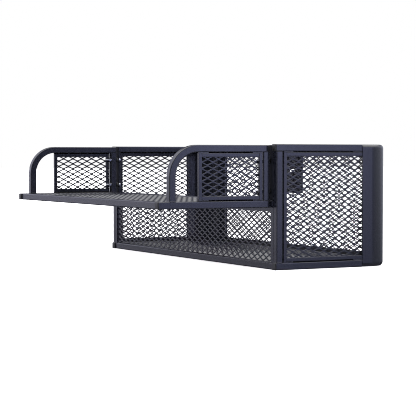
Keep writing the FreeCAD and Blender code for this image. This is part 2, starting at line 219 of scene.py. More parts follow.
def makeMoulded(name, values):
    # moulded face: small pits, with paler scuffs
    book = ShaderBook(bpy.data.materials.new(name))
    at = book.place()
    pits = book.cells(at, values["pitSize"])
    scuffs = ((book.noise(at, values["scuffSize"], 5.0, 0.65) - 0.55) * 6.0).clamp()
    colour = book.blend(scuffs * 0.6, values["face"], values["scuff"])
    rough = scuffs * 0.12 + pits * 0.10 + (values["roughness"] - 0.06)
    normal = book.bump(pits, 0.35, values["pitDepth"])
    return book.finish({"Base Color": colour, "Roughness": rough, "Normal": normal})


finishes = {
    "black_powder_coat": makePowderCoat("powderCoat", powderCoat, True),
    "coated_mesh": makePowderCoat("meshCoat", meshCoat, False),
    "zinc_plate": makeZinc("zincPlate", zincPlate),
    "black_plastic": makeMoulded("mouldedPlastic", mouldedPlastic),
    "black_rubber": makeMoulded("softRubber", softRubber),
    "shadedCoat": makePowderCoat("shadedCoat", shadedCoat, False),
}
print("finishes made")


# ---- surfaces as whole arrays ----

def ringQuads(rings, around, closed=True):
    # faces between neighbouring rings of a grid that is stored ring after ring
    ring = np.arange(rings - 1)[:, None]
    spot = np.arange(around if closed else around - 1)[None]
    after = (spot + 1) % around
    near, far = ring * around, (ring + 1) * around
    return np.stack([near + spot, near + after, far + after, far + spot], -1).reshape(-1, 4)


def capQuads(ring):
    # a convex ring closed by a ladder of faces between its two halves
    ring = np.asarray(ring)
    half = len(ring) // 2
    rung = np.arange(half - 1)
    return np.stack([ring[rung], ring[rung + 1], ring[-rung - 2], ring[-rung - 1]], -1)


def endCaps(around, total):
    # caps on the first and the last ring of a grid of points, facing away from each other
    ring = np.arange(around)
    return np.concatenate([capQuads(ring)[:, ::-1], capQuads(ring + total - around)])


def seamQuads(around, total):
    # the last ring of a grid of points joined to its first
    first = np.arange(around)
    last = first + total - around
    return np.stack([last, np.roll(last, -1), np.roll(first, -1), first], -1)


def unit(vectors):
    return vectors / np.linalg.norm(vectors, axis=-1, keepdims=True)


def faceNormals(points, quads):
    # one normal a face, from its two diagonals, given to each of its corners
    a, b, c, d = (points[quads[:, i]] for i in range(4))
    return np.repeat(unit(np.cross(c - a, d - b))[:, None], 4, axis=1)


def shape(points, quads, normals=None, edge=None):
    return {"points": points, "quads": quads, "edge": np.zeros(len(points)) if edge is None else edge,
            "normals": faceNormals(points, quads) if normals is None else normals}


def joined(shapes):
    # several shapes as one, with the faces of each counted on from those before
    counts = np.cumsum([0] + [len(s["points"]) for s in shapes[:-1]])
    return {"points": np.concatenate([s["points"] for s in shapes]),
            "quads": np.concatenate([s["quads"] + n for s, n in zip(shapes, counts)]),
            "edge": np.concatenate([s["edge"] for s in shapes]),
            "normals": np.concatenate([s["normals"] for s in shapes])}


def across(solid, side):
    # the same shape on the other end of the rack when side is -1; the faces are turned to stay outward
    if side > 0:
        return solid
    flip = np.array([-1, 1, 1])
    return {"points": solid["points"] * flip, "quads": solid["quads"][:, ::-1], "edge": solid["edge"],
            "normals": (solid["normals"] * flip)[:, ::-1]}


def camel(node):
    words = node.split("_")
    return words[0] + "".join(word.capitalize() for word in words[1:])


def putPiece(name, solid, slotName, nodes, crease=None):
    # writes the arrays into a mesh; with crease, Blender's own normals with edges kept past that angle
    mesh = bpy.data.meshes.new(name)
    points, quads = solid["points"], solid["quads"]
    mesh.vertices.add(len(points))
    mesh.vertices.foreach_set("co", points.astype(np.float32).ravel())
    mesh.loops.add(quads.size)
    mesh.loops.foreach_set("vertex_index", quads.astype(np.int32).ravel())
    mesh.polygons.add(len(quads))
    mesh.polygons.foreach_set("loop_start", np.arange(0, quads.size, 4, dtype=np.int32))
    mesh.polygons.foreach_set("use_smooth", np.ones(len(quads), bool))
    mesh.update(calc_edges=True)
    ridge = mesh.attributes.new("edge", "FLOAT", "POINT")
    ridge.data.foreach_set("value", solid["edge"].astype(np.float32))
    if crease:
        mesh.set_sharp_from_angle(angle=math.radians(crease))
    else:
        mesh.normals_split_custom_set(solid["normals"].reshape(-1, 3).tolist())
    mesh.materials.append(finishes[slotName])
    piece = bpy.data.objects.new(name, mesh)
    bpy.context.scene.collection.objects.link(piece)
    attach(piece, "root")
    if nodes:
        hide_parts(*nodes)
    return piece


def putBothEnds(stem, solid):
    # a coated piece of the right end, and its mirror image at the left end
    for end, side in zip(bothEnds, (-1, 1)):
        putPiece(camel(stem + end), across(solid, side), "black_powder_coat", [stem + end])


def roundedSection(width, height, radius, steps=4):
    # rounded rectangle, corner after corner: a centre at each corner plus a quarter circle.
    # Gives its points, its outward directions, and 1 along the middle of each corner
    turn = np.linspace(0, math.pi / 2, steps + 1)
    angle = (np.arange(4)[:, None] * math.pi / 2 + turn).ravel()
    signs = np.repeat(np.array([[1, 1], [-1, 1], [-1, -1], [1, -1]]), steps + 1, axis=0)
    outward = np.stack([np.cos(angle), np.sin(angle)], -1)
    centres = signs * (np.array([width, height]) / 2 - radius)
    return centres + radius * outward, outward, np.tile(np.sin(turn * 2), 4)


def carried(section, origins, sides, ups):
    # ring k is origin k plus the section laid along side k and up k
    return origins[:, None] + section[..., 0, None] * sides[:, None] + section[..., 1, None] * ups[:, None]


def cornerNormals(normals, quads):
    return normals.reshape(-1, 3)[quads]


barEnd = {"middleRing": 0.3, "lean": 0.7}    # where the end's middle ring stands, and its normals' lean


def solidBar(origins, sides, ups, width, height, radius, soft):
    # a filled rounded section along a path, drawn in over the last bit of each end
    section, outward, ridge = roundedSection(width, height, radius, 3)
    along = unit(np.gradient(origins, axis=0))
    lead = np.array([0, barEnd["middleRing"], 1.0])[:, None] * soft
    first = origins[0] + along[0] * lead
    last = (origins[-1] - along[-1] * lead)[::-1]
    origins = np.concatenate([first, origins[1:-1], last])
    extra = len(origins) - len(sides)
    spread = np.clip(np.arange(len(origins)) - extra // 2, 0, len(sides) - 1)
    sides, ups = sides[spread], ups[spread]
    shrink = np.zeros(len(origins))
    shrink[[0, 1]] = shrink[[-1, -2]] = np.array([1.0, barEnd["middleRing"]]) * soft
    sections = section[None] - outward[None] * shrink[:, None, None]
    grid = carried(sections, origins, sides, ups)
    normals = np.broadcast_to(carried(outward[None], origins * 0, sides, ups), grid.shape).copy()
    normals[0] -= along[0] * barEnd["lean"]
    normals[-1] += along[-1] * barEnd["lean"]
    quads = ringQuads(len(origins), len(section))
    points = grid.reshape(-1, 3)
    ends = endCaps(len(section), len(points))
    allNormals = np.concatenate([cornerNormals(unit(normals), quads), faceNormals(points, ends)])
    return shape(points, np.concatenate([quads, ends]), allNormals, np.tile(ridge, len(origins)))


tubing = {"size": 19.0 * mm, "wall": 1.5 * mm, "corner": 2.5 * mm, "leastCorner": 0.4 * mm}


def hollowTube(origins, sides, ups, size, wall, radius, pinch=None):
    # outer skin, bore and the two end rings; pinch draws the inside of a bend in, as bending does
    outer, outward, ridge = roundedSection(size, size, radius)
    bore, _, _ = roundedSection(size - 2 * wall, size - 2 * wall, max(radius - wall, tubing["leastCorner"]))
    outerRings = np.repeat(outer[None], len(origins), axis=0)
    if pinch is not None:
        hollow = np.clip(-outward[:, 1], 0, 1) ** 2 * (1 - (2 * outer[:, 0] / size) ** 2)
        outerRings[..., 1] += pinch[:, None] * hollow
    skin = carried(outerRings, origins, sides, ups)
    inside = carried(bore[None], origins, sides, ups)
    skinNormals = np.broadcast_to(carried(outward[None], origins * 0, sides, ups), skin.shape)
    count, rings = len(outer), len(origins)
    quads = ringQuads(rings, count)
    offset = rings * count
    spot = np.arange(count)
    after = (spot + 1) % count
    start = np.stack([spot, spot + offset, after + offset, after], -1)
    finish = (start + (rings - 1) * count)[:, ::-1]
    points = np.concatenate([skin.reshape(-1, 3), inside.reshape(-1, 3)])
    ends = np.concatenate([start, finish])
    sideNormals = cornerNormals(skinNormals, quads)
    boreQuads = quads[:, ::-1] + offset
    boreNormals = -cornerNormals(skinNormals, quads[:, ::-1])
    allNormals = np.concatenate([sideNormals, boreNormals, faceNormals(points, ends)])
    edge = np.concatenate([np.tile(ridge, rings), np.zeros(offset)])
    return shape(points, np.concatenate([quads, boreQuads, ends]), allNormals, edge)


def straightFrames(low, high, axis):
    # the middle line of a box along one axis, with the two other axes as its side and up
    start, finish = (low + high) / 2, (low + high) / 2
    start[axis], finish[axis] = low[axis], high[axis]
    side, up = np.eye(3)[(axis + 1) % 3], np.eye(3)[(axis + 2) % 3]
    return np.array([start, finish]), np.tile(side, (2, 1)), np.tile(up, (2, 1))


def nodeBox(node):
    low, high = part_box(node)
    return np.array(low), np.array(high)


def tubeAlong(low, high, axis):
    return hollowTube(*straightFrames(low, high, axis), tubing["size"], tubing["wall"], tubing["corner"])


def boxBar(low, high, edge, soft):
    # a rounded bar that fills a box, along the box's longest side
    axis = int(np.argmax(high - low))
    size = (high - low)[[(axis + 1) % 3, (axis + 2) % 3]]
    return solidBar(*straightFrames(low, high, axis), size[0], size[1], edge, soft)


def makeStraightTubes():
    names = ["deck_front_tube", "deck_rear_tube", "basket_front_bottom_tube", "basket_front_upper_tube",
             "basket_rear_bottom_tube", "basket_rear_top_tube"]
    for end in bothEnds:
        names += [part + end for part in ("deck_side_tube_", "rail_upright_", "front_post_",
                                          "basket_bottom_side_tube_", "basket_top_side_tube_")]
    for node in names:
        low, high = nodeBox(node)
        putPiece(camel(node), tubeAlong(low, high, int(np.argmax(high - low))), "black_powder_coat", [node])
    print("straight tubes made:", len(names))


railBend = {"centreRadius": 72.5 * mm, "steps": 28, "pinch": 0.9 * mm}


def makeRails(values):
    # the leg runs up, a quarter circle turns it rearward, and the top run goes on straight
    radius, steps = values["centreRadius"], values["steps"]
    low, high = nodeBox("rail_tube_right")
    half = tubing["size"] / 2
    x, legY, topZ = (low[0] + high[0]) / 2, low[1] + half, high[2] - half
    pivotY, pivotZ = legY + radius, topZ - radius
    turn = np.linspace(0, math.pi / 2, steps + 1)
    zeros = np.zeros_like(turn)
    arc = np.stack([zeros + x, pivotY - radius * np.cos(turn), pivotZ + radius * np.sin(turn)], -1)
    outward = np.stack([zeros, -np.cos(turn), np.sin(turn)], -1)
    origins = np.concatenate([[[x, legY, low[2]]], arc, [[x, high[1], topZ]]])
    ups = np.concatenate([outward[:1], outward, outward[-1:]])
    sides = np.tile(-xAxis, (len(origins), 1))
    pinch = np.concatenate([[0], np.sin(turn * 2) ** 0.5 * values["pinch"], [0]])
    rail = hollowTube(origins, sides, ups, tubing["size"], tubing["wall"], tubing["corner"], pinch)
    putBothEnds("rail_tube_", rail)
    print("rails made")


cornerBend = {"outerRadius": 70.0 * mm, "steps": 26, "thickness": 1.5 * mm, "edgeSteps": 6}


def makeCovers(values):
    # a C-shaped section (lip, rounded edge, wall, rounded edge, lip) carried round the corner
    low, high = nodeBox("corner_cover_right")
    edgeRadius = (tubing["size"] + values["thickness"]) / 2
    lip = tubing["size"] + values["thickness"]
    bend, steps = values["outerRadius"], values["steps"]
    pivot = high[:2] - bend
    turn = np.linspace(0, math.pi / 2, steps + 1)
    round2 = np.stack([np.cos(turn), np.sin(turn)], -1)
    line = np.concatenate([[[high[0], low[1]]], pivot + bend * round2, [[low[0], high[1]]]])
    outward = np.concatenate([round2[:1], round2, round2[-1:]])

    def section(radius, level):
        # inset from the outer face and height of each point, with its outward direction
        swing = np.linspace(0, math.pi / 2, values["edgeSteps"] + 1)
        inset = edgeRadius - radius * np.sin(swing)
        bottom = edgeRadius - radius * np.cos(swing)
        insets = np.concatenate([[lip], inset, inset[::-1], [lip]])
        heights = np.concatenate([[level], bottom, high[2] - bottom[::-1], [high[2] - level]])
        flat = np.concatenate([[0], np.sin(swing), np.sin(swing)[::-1], [0]])
        rise = np.concatenate([[-1], -np.cos(swing), np.cos(swing)[::-1], [1]])
        return insets, heights, flat, rise

    def skin(radius, level):
        insets, heights, flat, rise = section(radius, level)
        flatPlaces = line[:, None] - insets[None, :, None] * outward[:, None]
        tall = np.broadcast_to(heights[None, :, None], (len(line), len(heights), 1))
        facing = np.broadcast_to(rise[None, :, None], tall.shape)
        normal = np.concatenate([flat[None, :, None] * outward[:, None], facing], -1)
        return np.concatenate([flatPlaces, tall], -1), normal

    outer, normals = skin(edgeRadius, 0)
    inner, _ = skin(edgeRadius - values["thickness"], values["thickness"])
    rings, count = outer.shape[:2]
    quads = ringQuads(rings, count, closed=False)[:, ::-1]
    offset = rings * count
    points = np.concatenate([outer.reshape(-1, 3), inner.reshape(-1, 3)])
    index = np.arange(offset).reshape(rings, count)
    rims = []
    for rim, turned in ((index[0], False), (index[-1], True), (index[:, 0], True), (index[:, -1], False)):
        strip = np.stack([rim[:-1], rim[1:], rim[1:] + offset, rim[:-1] + offset], -1)
        rims.append(strip[:, ::-1] if turned else strip)
    rims = np.concatenate(rims)
    innerQuads = quads[:, ::-1] + offset
    allNormals = np.concatenate([cornerNormals(normals, quads), -cornerNormals(normals, quads[:, ::-1]),
                                 faceNormals(points, rims)])
    swing = np.linspace(0, math.pi, values["edgeSteps"] + 1)
    ridge = np.concatenate([[0], np.sin(swing), np.sin(swing), [0]])
    edge = np.concatenate([np.tile(ridge, rings), np.zeros(offset)])
    cover = shape(points, np.concatenate([quads, innerQuads, rims]), allNormals, edge)
    putBothEnds("corner_cover_", cover)
    print("corner covers made")


joinerTube = {"diameter": 14.5 * mm, "wall": 1.5 * mm, "steps": 18}


def makeJoiners(values):
    # a round tube: a straight, a quarter circle about the cover's own pivot, and a straight
    low, high = nodeBox("corner_joiners_right")
    coverHigh = nodeBox("corner_cover_right")[1]
    pivot = coverHigh[:2] - cornerBend["outerRadius"]
    half = values["diameter"] / 2
    radius = high[0] - half - pivot[0]
    turn = np.linspace(0, math.pi / 2, values["steps"] + 1)
    arc = pivot + radius * np.stack([np.cos(turn), np.sin(turn)], -1)
    line = np.concatenate([[[pivot[0] + radius, low[1]]], arc, [[low[0], pivot[1] + radius]]])
    flat = np.stack([np.cos(turn), np.sin(turn), turn * 0], -1)
    sides = np.concatenate([flat[:1], flat, flat[-1:]])
    ups = np.tile(-zAxis, (len(line), 1))
    tubes = []
    for z in (low[2] + half, high[2] - half):
        origins = np.concatenate([line, np.full((len(line), 1), z)], -1)
        tubes.append(hollowTube(origins, -sides, -ups, values["diameter"], values["wall"], half))
    putBothEnds("corner_joiners_", joined(tubes))
    print("corner joiners made")


panelBars = {
    "bar": 10.0 * mm,
    "edge": 1.3 * mm,
    "soft": 0.5 * mm,           # how far a bar's ends are drawn in
    "rungSoft": 0.05 * mm,      # the same where a rung meets an upright bar
    "gap": 2.5 * mm,            # between the bars and the tubes above and below
    "lip": 3.0 * mm,            # depth of the lip that closes the gap
    "lipEdge": 0.2 * mm,
    "tabLength": 29.0 * mm,
    "tabEdge": 0.6 * mm,
}


def longAxis(low, high):
    # 0 for a panel along X, 1 for one along Y
    return 0 if high[0] - low[0] > high[1] - low[1] else 1


def frameBars(node, values):
    # two upright bars, two rungs between them, and a thin lip at the back that closes the gap above and
    # below, marked as deep in a slot so that it takes the painted slot shade
    low, high = nodeBox(node)
    run = longAxis(low, high)
    through = 1 - run
    starts, ends = low + zAxis * values["gap"], high - zAxis * values["gap"]
    bar = values["bar"]
    pieces = []

    def add(edge, soft, **limits):
        a, b = starts.copy(), ends.copy()
        for key, (first, last) in limits.items():
            axis = {"along": run, "up": 2, "deep": through}[key]
            a[axis], b[axis] = first, last
        pieces.append(boxBar(a, b, edge, soft))

    for first in (low[run], high[run] - bar):
        add(values["edge"], values["soft"], along=(first, first + bar))
    for first in (starts[2], ends[2] - bar):
        inside = (low[run] + bar, high[run] - bar)
        add(values["edge"], values["rungSoft"], along=inside, up=(first, first + bar))
    inner = high[through] - values["lip"] if high[through] < 0 else low[through]
    for first in (low[2], ends[2]):
        add(values["lipEdge"], values["lipEdge"], up=(first, first + values["gap"]),
            deep=(inner, inner + values["lip"]))
        # edge value -1: the lip is painted near-black as shade in the gap
        pieces[-1]["edge"][:] = -1
    return joined(pieces)


def cornerTabs(node, values):
    # four flat tabs at the corners of the node's box
    low, high = nodeBox(node)
    run = longAxis(low, high)
    tabs = []
    for first in (low[run], high[run] - values["tabLength"]):
        for foot in (low[2], high[2] - values["gap"]):
            a, b = low.copy(), high.copy()
            a[run], b[run], a[2], b[2] = first, first + values["tabLength"], foot, foot + values["gap"]
            tabs.append(boxBar(a, b, values["tabEdge"], values["soft"]))
    return joined(tabs)


def makePanels(values):
    frames = [part % end for part in ("rail_panel_%s_frame", "end_panel_%s_frame") for end in bothEnds]
    for node in ["rear_panel_frame"] + frames:
        putPiece(camel(node), frameBars(node, values), "black_powder_coat", [node])
    tabs = [part + end for part in ("rail_spacers_", "end_spacers_") for end in bothEnds]
    for node in ["rear_spacers"] + tabs:
        putPiece(camel(node), cornerTabs(node, values), "black_powder_coat", [node])
    print("panel frames and tabs made")


expanded = {
    "longWay": 32.0 * mm,       # knuckle to knuckle along the diamonds
    "shortWay": 16.4 * mm,
    "strandWidth": 4.0 * mm,
    "gauge": 1.7 * mm,
    "knuckle": 3.0 * mm,
    "bond": 0.3,                # share of a strand's width left clear of the next row's at a knuckle
    "stagger": 0.05 * mm,       # neighbouring rows lie this far apart through the sheet
    "wallTilt": 0.0,            # strands' sections turned out of the sheet's plane
    "floorTilt": math.radians(20),
    "edge": 0.8 * mm,
    "endRoom": 0.5 * mm,        # no bend comes nearer than this to a row's end
}


def expandedSheet(low, high, run, rise, tilt, reach=None):
    # Rows of one bent strand each. A row's line swings between two levels like a wave with flat tops,
    # and the next row swings against it, so that the two lie side by side at each flat: the knuckle.
    # Every strand's section is tilted the same way. reach shortens a row where the sheet has a round corner.
    u, v = np.eye(3)[run], np.eye(3)[rise]
    n = np.cross(u, v)
    period, half = expanded["longWay"], expanded["shortWay"] / 2
    width, gauge = expanded["strandWidth"], expanded["gauge"]
    wide = math.cos(tilt) * v + math.sin(tilt) * n
    thick = math.cos(tilt) * n - math.sin(tilt) * v
    section, outward, _ = roundedSection(width, gauge, expanded["edge"], 2)
    swing = half / 2 * v - expanded["bond"] * width * wide
    middle = (low + high) / 2
    margin = (abs(wide @ v) * width + abs(thick @ v) * gauge) / 2 + abs(swing @ v)
    rows = int((high[rise] - low[rise] - 2 * margin) / half) + 1
    flat = expanded["knuckle"] / period
    knots = np.array([flat / 2, 0.25, 0.5 - flat / 2, 0.5 + flat / 2, 0.75, 1 - flat / 2])
    heights = np.array([1, 0, -1, -1, 0, 1.0])
    strands = []
    for row in range(rows):
        level = (row - (rows - 1) / 2) * half
        ends = np.array([low[run], high[run]]) - middle[run]
        if reach:
            ends = np.clip(ends, *reach(middle[rise] + level, middle[run]))
        turns = np.arange(math.floor(ends[0] / period) - 1, math.ceil(ends[1] / period) + 1)
        places = ((turns[:, None] + knots[None]) * period).ravel()
        levels = np.tile(heights, len(turns))
        room = expanded["endRoom"]
        inside = (places > ends[0] + room) & (places < ends[1] - room)
        path = np.concatenate([ends[:1], places[inside], ends[1:]])
        height = np.interp(path, places, levels) * (1 if row % 2 else -1)
        slope = np.gradient(height, path)
        base = middle + level * v + (row % 2 - 0.5) * expanded["stagger"] * n
        origins = base + path[:, None] * u + height[:, None] * swing
        origins[:, run] = middle[run] + path
        spread = section[:, 0, None] * wide + section[:, 1, None] * thick
        facing = outward[:, 0, None] * wide + outward[:, 1, None] * thick
        grid = origins[:, None] + spread[None]
        lean = (facing @ swing)[None, :, None] * slope[:, None, None] * u
        normals = unit(facing[None] - lean)
        points = grid.reshape(-1, 3)
        quads = ringQuads(len(path), len(section))
        caps = endCaps(len(section), len(points))
        if np.dot(np.cross(wide, thick), u) < 0:
            quads, caps = quads[:, ::-1], caps[:, ::-1]
        allNormals = np.concatenate([cornerNormals(normals, quads), faceNormals(points, caps)])
        strands.append(shape(points, np.concatenate([quads, caps]), allNormals))
    return joined(strands)


def makeSheets():
    pivot = nodeBox("corner_cover_right")[1][:2] - cornerBend["outerRadius"]
    bend = nodeBox("floor_mesh")[1][0] - pivot[0]

    def floorReach(level, middle):
        # the floor's rear corners follow the inside of the bent tubes
        over = min(max(level + expanded["shortWay"] / 4 - pivot[1], 0), bend)
        limit = pivot[0] + math.sqrt(bend ** 2 - over ** 2)
        return -limit - middle, limit - middle

    walls = [("front_mesh", 0), ("rear_panel_mesh", 0)]
    for end in bothEnds:
        walls += [("end_panel_%s_mesh" % end, 1), ("rail_panel_%s_mesh" % end, 1)]
    for node, run in walls:
        sheet = expandedSheet(*nodeBox(node), run, 2, expanded["wallTilt"])
        putPiece(camel(node), sheet, "coated_mesh", [node])
    for node, reach in (("deck_mesh", None), ("floor_mesh", floorReach)):
        sheet = expandedSheet(*nodeBox(node), 0, 1, expanded["floorTilt"], reach)
        putPiece(camel(node), sheet, "coated_mesh", [node])
    print("expanded-metal sheets made:", len(walls) + 2)


def lathed(centre, axis, stations, radii, around):
    # a turned shape: at each station along the axis, a radius for each direction round it
    turn = np.linspace(0, 2 * math.pi, around, endpoint=False)
    side, up = np.eye(3)[(axis + 1) % 3], np.eye(3)[(axis + 2) % 3]
    spokes = np.cos(turn)[:, None] * side + np.sin(turn)[:, None] * up
    grid = centre + stations[:, None, None] * np.eye(3)[axis] + radii[..., None] * spokes[None]
    return grid.reshape(-1, 3), ringQuads(len(stations), around)


def closedLathe(centre, axis, stations, radii, around):
    points, quads = lathed(centre, axis, stations, radii, around)
    return shape(points, np.concatenate([quads, endCaps(around, len(points))]))


def ringLathe(centre, axis, stations, radii, around):
    # the stations go once round the ring's own section, so the last joins the first
    points, quads = lathed(centre, axis, stations, radii, around)
    return shape(points, np.concatenate([quads, seamQuads(around, len(points))]))


def hexRadius(acrossFlats, around):
    # distance to a hexagon's side in each direction, with two flats facing along X when turned about Y
    turn = np.linspace(0, 2 * math.pi, around, endpoint=False)
    return acrossFlats / 2 / np.cos(turn % (math.pi / 3) - math.pi / 6)


fastener = {
    "shank": 3.0 * mm,          # radius
    "acrossFlats": 10.0 * mm,
    "hexAround": 36,            # points round a head or a nut
    "chamfer": 0.9 * mm,
    "headHeight": 4.0 * mm,
    "relief": 0.25 * mm,        # the head's cone at its seat ends this high
    "crown": 0.8 * mm,          # and the cone at its top begins this far down
    "crownReach": (0.7 * mm, 0.1 * mm, -0.6 * mm),
    "threaded": 19.0 * mm,
    "pitch": 1.0 * mm,
    "threadDepth": 0.35 * mm,
    "stepsPerPitch": 6,
    "around": 24,               # points round a thread
    "tipChamfer": 0.8 * mm,
    "nutBore": 3.05 * mm,
    "nutEdge": 0.5 * mm,
    "nutReach": -0.4 * mm,
    "ringAround": 32,           # points round a washer or a spacer
    "holeRadius": 3.3 * mm,
    "washer": 1.2 * mm,
    "washerRadius": 6.0 * mm,
    "washerEdge": 0.25 * mm,
    "spacerRadius": 7.0 * mm,
    "spacerEdge": 0.7 * mm,
    "hexCrease": 32,            # degrees past which an edge stays sharp
    "washerCrease": 40,
    "spacerCrease": 60,
}


def boltShape(seat, tip, values):
    # head: a hexagon cut by a cone. thread: the radius falls and rises once a pitch, and once a turn
    around = values["hexAround"]
    flats = hexRadius(values["acrossFlats"], around)
    top, crown = values["headHeight"], values["crown"]
    cone = values["acrossFlats"] / math.sqrt(3) - values["chamfer"]
    stations = np.array([0, values["relief"], top - crown, top - crown / 2, top])
    limits = np.array([cone, 1, *(cone + reach for reach in values["crownReach"])])
    radii = np.minimum(flats[None], limits[:, None])
    head = closedLathe(seat, 1, stations, radii, around)
    turn = np.linspace(0, 1, values["around"], endpoint=False)
    plain = np.array([0.0, seat[1] - tip - values["threaded"]])
    steps = int(values["threaded"] / values["pitch"] * values["stepsPerPitch"])
    run = np.linspace(plain[1], seat[1] - tip - values["tipChamfer"], steps)
    wave = np.abs(((run[:, None] / values["pitch"] + turn[None]) % 1) * 2 - 1)
    fade = np.clip((run - plain[1]) / (2 * values["pitch"]), 0, 1)[:, None]
    threads = values["shank"] - values["threadDepth"] * 2 * np.clip(wave - 0.25, 0, 0.5) * 2 * fade
    stations = -np.concatenate([plain[:1], run, [seat[1] - tip]])[::-1]
    radii = np.concatenate([np.full((1, values["around"]), values["shank"]), threads,
                            np.full((1, values["around"]), values["shank"] - values["tipChamfer"])])[::-1]
    return joined([head, closedLathe(seat, 1, stations, radii, values["around"])])


def nutShape(centre, height, values):
    # a chamfered hexagon outside and a round bore inside, as one closed ring
    around = values["hexAround"]
    flats = hexRadius(values["acrossFlats"], around)
    cone = values["acrossFlats"] / math.sqrt(3) - values["chamfer"]
    bore, edge = values["nutBore"], values["nutEdge"]
    stations = np.array([0, 0, edge, height - edge, height, height, height - edge, edge])
    rim = cone + values["nutReach"]
    limits = np.array([bore + edge, rim, 1, 1, rim, bore + edge, bore, bore])
    radii = np.minimum(flats[None], limits[:, None])
    return ringLathe(centre, 1, stations, radii, around)


def roundRing(centre, length, inner, outer, edge, around):
    # a flat ring: out along one face, over the rim, back along the other, and through the bore
    stations = np.array([0, 0, edge, length - edge, length, length])
    radii = np.array([inner, outer - edge, outer, outer, outer - edge, inner])
    return ringLathe(centre, 1, stations, np.repeat(radii[:, None], around, axis=1), around)


def makeFasteners(values):
    nutLow, nutHigh = nodeBox("nuts")
    boltLow, boltHigh = nodeBox("bolts")
    washerLow, washerHigh = nodeBox("washers")
    spacerLow, spacerHigh = nodeBox("bolt_spacers")
    reach = values["acrossFlats"] / math.sqrt(3)
    washer, hole, around = values["washer"], values["holeRadius"], values["ringAround"]
    boltX = nutHigh[0] - values["acrossFlats"] / 2
    bolts, nuts, washers, spacers = [], [], [], []
    for x in (-boltX, boltX):
        for z in (nutLow[2] + reach, nutHigh[2] - reach):
            seat = np.array([x, boltHigh[1] - values["headHeight"], z])
            bolts.append(boltShape(seat, boltLow[1], values))
            nuts.append(nutShape(np.array([x, nutLow[1], z]), nutHigh[1] - nutLow[1], values))
            for y in (washerLow[1], washerHigh[1] - washer):
                washers.append(roundRing(np.array([x, y, z]), washer, hole, values["washerRadius"],
                                         values["washerEdge"], around))
            spacers.append(roundRing(np.array([x, spacerLow[1], z]), spacerHigh[1] - spacerLow[1], hole,
                                     values["spacerRadius"], values["spacerEdge"], around))
    putPiece("boltSet", joined(bolts), "zinc_plate", ["bolts"], values["hexCrease"])
    putPiece("nutSet", joined(nuts), "zinc_plate", ["nuts"], values["hexCrease"])
    putPiece("washerSet", joined(washers), "zinc_plate", ["washers"], values["washerCrease"])
    putPiece("spacerSet", joined(spacers), "black_rubber", ["bolt_spacers"], values["spacerCrease"])
    print("fasteners made")


plug = {"flange": 4.0 * mm, "spigot": 12.0 * mm, "clearance": 0.1 * mm, "round": 1.1 * mm,
        "crown": 0.35 * mm, "crownShare": 0.45, "lead": 1.0 * mm, "taper": 1.6 * mm, "back": 0.3 * mm,
        "crease": 50}


def plugShape(centre, outward, values):
    # sizes of a rounded square at each depth: spigot, then the flange, then its rounded rim and low crown
    full = tubing["size"]
    thin = full - 2 * (tubing["wall"] + values["clearance"])
    swing = np.linspace(0, math.pi / 2, 5)
    face = values["flange"] - values["crown"]
    rimDepth = face - values["round"] * (1 - np.sin(swing))
    rimSize = full - 2 * values["round"] * (1 - np.cos(swing))
    start = -values["spigot"]
    depths = np.concatenate([[start, start + values["lead"], 0, 0], rimDepth, [values["flange"]]])
    sizes = np.concatenate([[thin - values["taper"], thin, thin, full - values["back"]], rimSize,
                            [full * values["crownShare"]]])
    rings = np.stack([roundedSection(size, size, min(tubing["corner"], size / 2))[0] for size in sizes])
    count = rings.shape[1]
    origins = centre + depths[:, None] * outward * yAxis
    sides = np.tile(zAxis if outward > 0 else xAxis, (len(depths), 1))
    ups = np.tile(xAxis if outward > 0 else zAxis, (len(depths), 1))
    points = carried(rings, origins, sides, ups).reshape(-1, 3)
    return shape(points, np.concatenate([ringQuads(len(depths), count), endCaps(count, len(points))]))


def makePlugs(values):
    half = tubing["size"] / 2
    low, high = nodeBox("deck_tube_plugs")
    places = {"deck_tube_plugs": [((side * (high[0] - half), low[1] + values["flange"], low[2] + half), -1)
                                  for side in (-1, 1)]}
    low, high = nodeBox("basket_tube_plugs")
    places["basket_tube_plugs"] = [((side * (high[0] - half), low[1] + values["flange"], z), -1)
                                   for side in (-1, 1) for z in (low[2] + half, high[2] - half)]
    low, high = nodeBox("rail_tube_plugs")
    places["rail_tube_plugs"] = [((side * (high[0] - half), high[1] - values["flange"], low[2] + half), 1)
                                 for side in (-1, 1)]
    for node, spots in places.items():
        plugs = [plugShape(np.array(centre), outward, values) for centre, outward in spots]
        putPiece(camel(node), joined(plugs), "black_plastic", [node], values["crease"])
    print("plugs made")


welds = {"radius": 1.5 * mm, "sunk": 0.9 * mm, "inset": 0.4 * mm, "ripple": 0.13,
         "ripplePitch": 1.9 * mm, "stepsPerRipple": 3, "around": 8, "cornerSteps": 5, "crease": 60}


